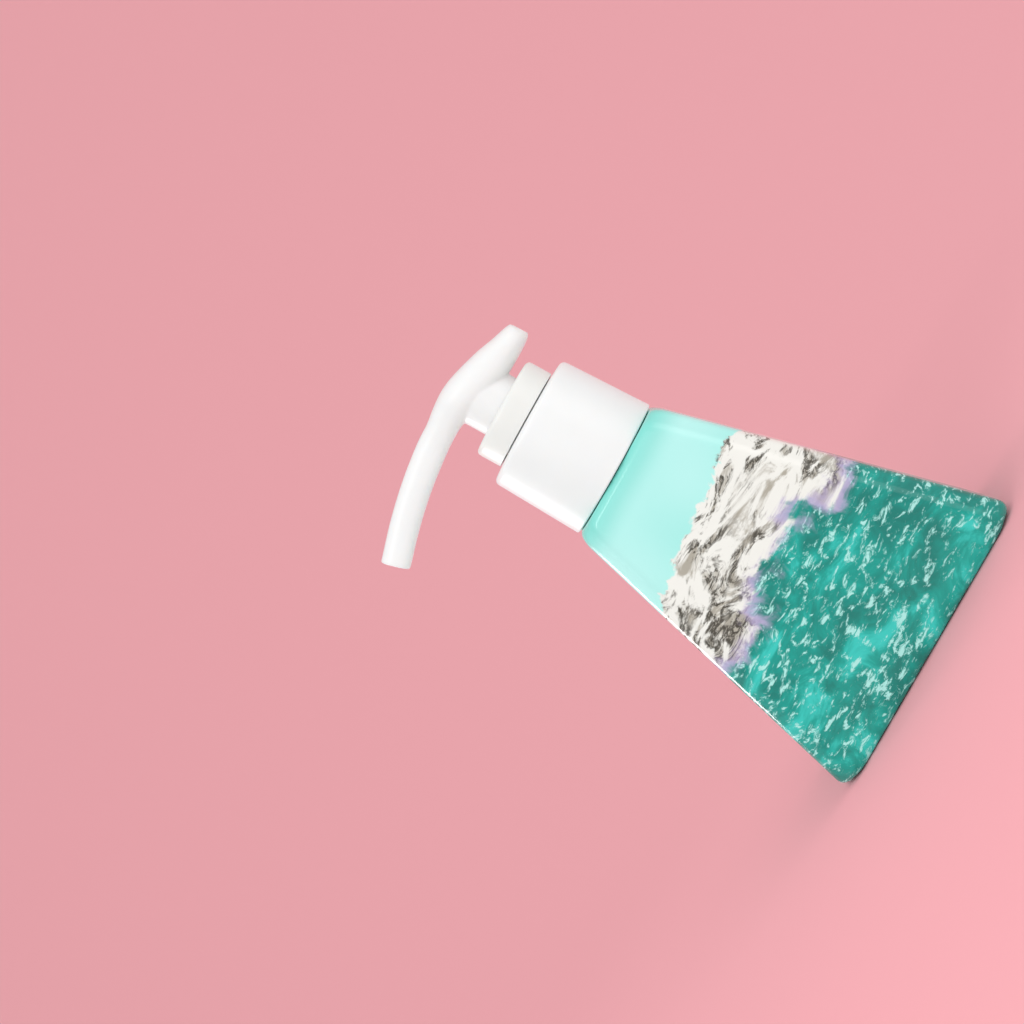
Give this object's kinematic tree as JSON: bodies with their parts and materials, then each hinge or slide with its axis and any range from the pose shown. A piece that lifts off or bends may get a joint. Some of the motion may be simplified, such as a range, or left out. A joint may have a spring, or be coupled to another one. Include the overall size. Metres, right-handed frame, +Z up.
{
  "type": "toothpaste pump dispenser",
  "caption": "Tapered bottle with bevelled corners, a screw closure and a press-down pump with a long curved swivelling spout.",
  "frame": {"origin": "centre of the bottle's flat base, on the pump's axis", "axes": "+Z up along the pump's axis; the printed front faces -Y; the spout points to -X at rest and the thumb tab to +X"},
  "size_m": [0.0945, 0.0534, 0.1438],
  "materials": {
    "bottle_aqua": "glossy blow-moulded bottle, blue-green, printed all round",
    "paste": "soft pink paste",
    "gasket_foam": "foamed liner",
    "closure_white": "smooth white polypropylene",
    "collar_white": "smooth white polypropylene",
    "housing_white": "natural polypropylene",
    "inner_white": "white polypropylene",
    "ball_steel": "polished ball",
    "spring_steel": "drawn wire",
    "tube_natural": "natural extruded tube",
    "piston_natural": "natural polyethylene",
    "head_white": "slightly translucent white polypropylene"
  },
  "bodies": {
    "bottle": {"bottle": "bottle_aqua", "toothpaste_fill": "paste"},
    "pump_body": {"pump_housing": "housing_white", "collar": "collar_white", "neck_gasket": "gasket_foam", "ball_cage": "inner_white", "return_spring": "spring_steel", "dip_tube": "tube_natural"},
    "closure": {"closure": "closure_white"},
    "inlet_ball": {"inlet_ball": "ball_steel"},
    "piston": {"piston": "piston_natural"},
    "head": {"pump_head": "head_white", "stem": "inner_white", "piston_rod": "inner_white"}
  },
  "joints": [
    {"name": "pump_lift", "type": "slide", "parent": "bottle", "child": "pump_body", "axis": [0, 0, 1], "range_m": [0, 0.00634]},
    {"name": "closure_turn", "type": "hinge", "parent": "pump_body", "child": "closure", "pos_m": [0, 0, 0.106], "axis": [0, 0, 1], "range_deg": [0, 540]},
    {"name": "inlet_ball_lift", "type": "slide", "parent": "pump_body", "child": "inlet_ball", "axis": [0, 0, 1], "range_m": [0, 0.0012]},
    {"name": "pump_press", "type": "slide", "parent": "pump_body", "child": "piston", "axis": [0, 0, 1], "range_m": [0, 0.009], "deforming": ["return_spring"]},
    {"name": "spout_swivel", "type": "hinge", "parent": "piston", "child": "head", "pos_m": [0, 0, 0.13], "axis": [0, 0, 1], "continuous": true}
  ],
  "couplings": [
    {"joint": "closure_turn", "follows": "pump_lift", "rad_per_m": 1485.4}
  ]
}
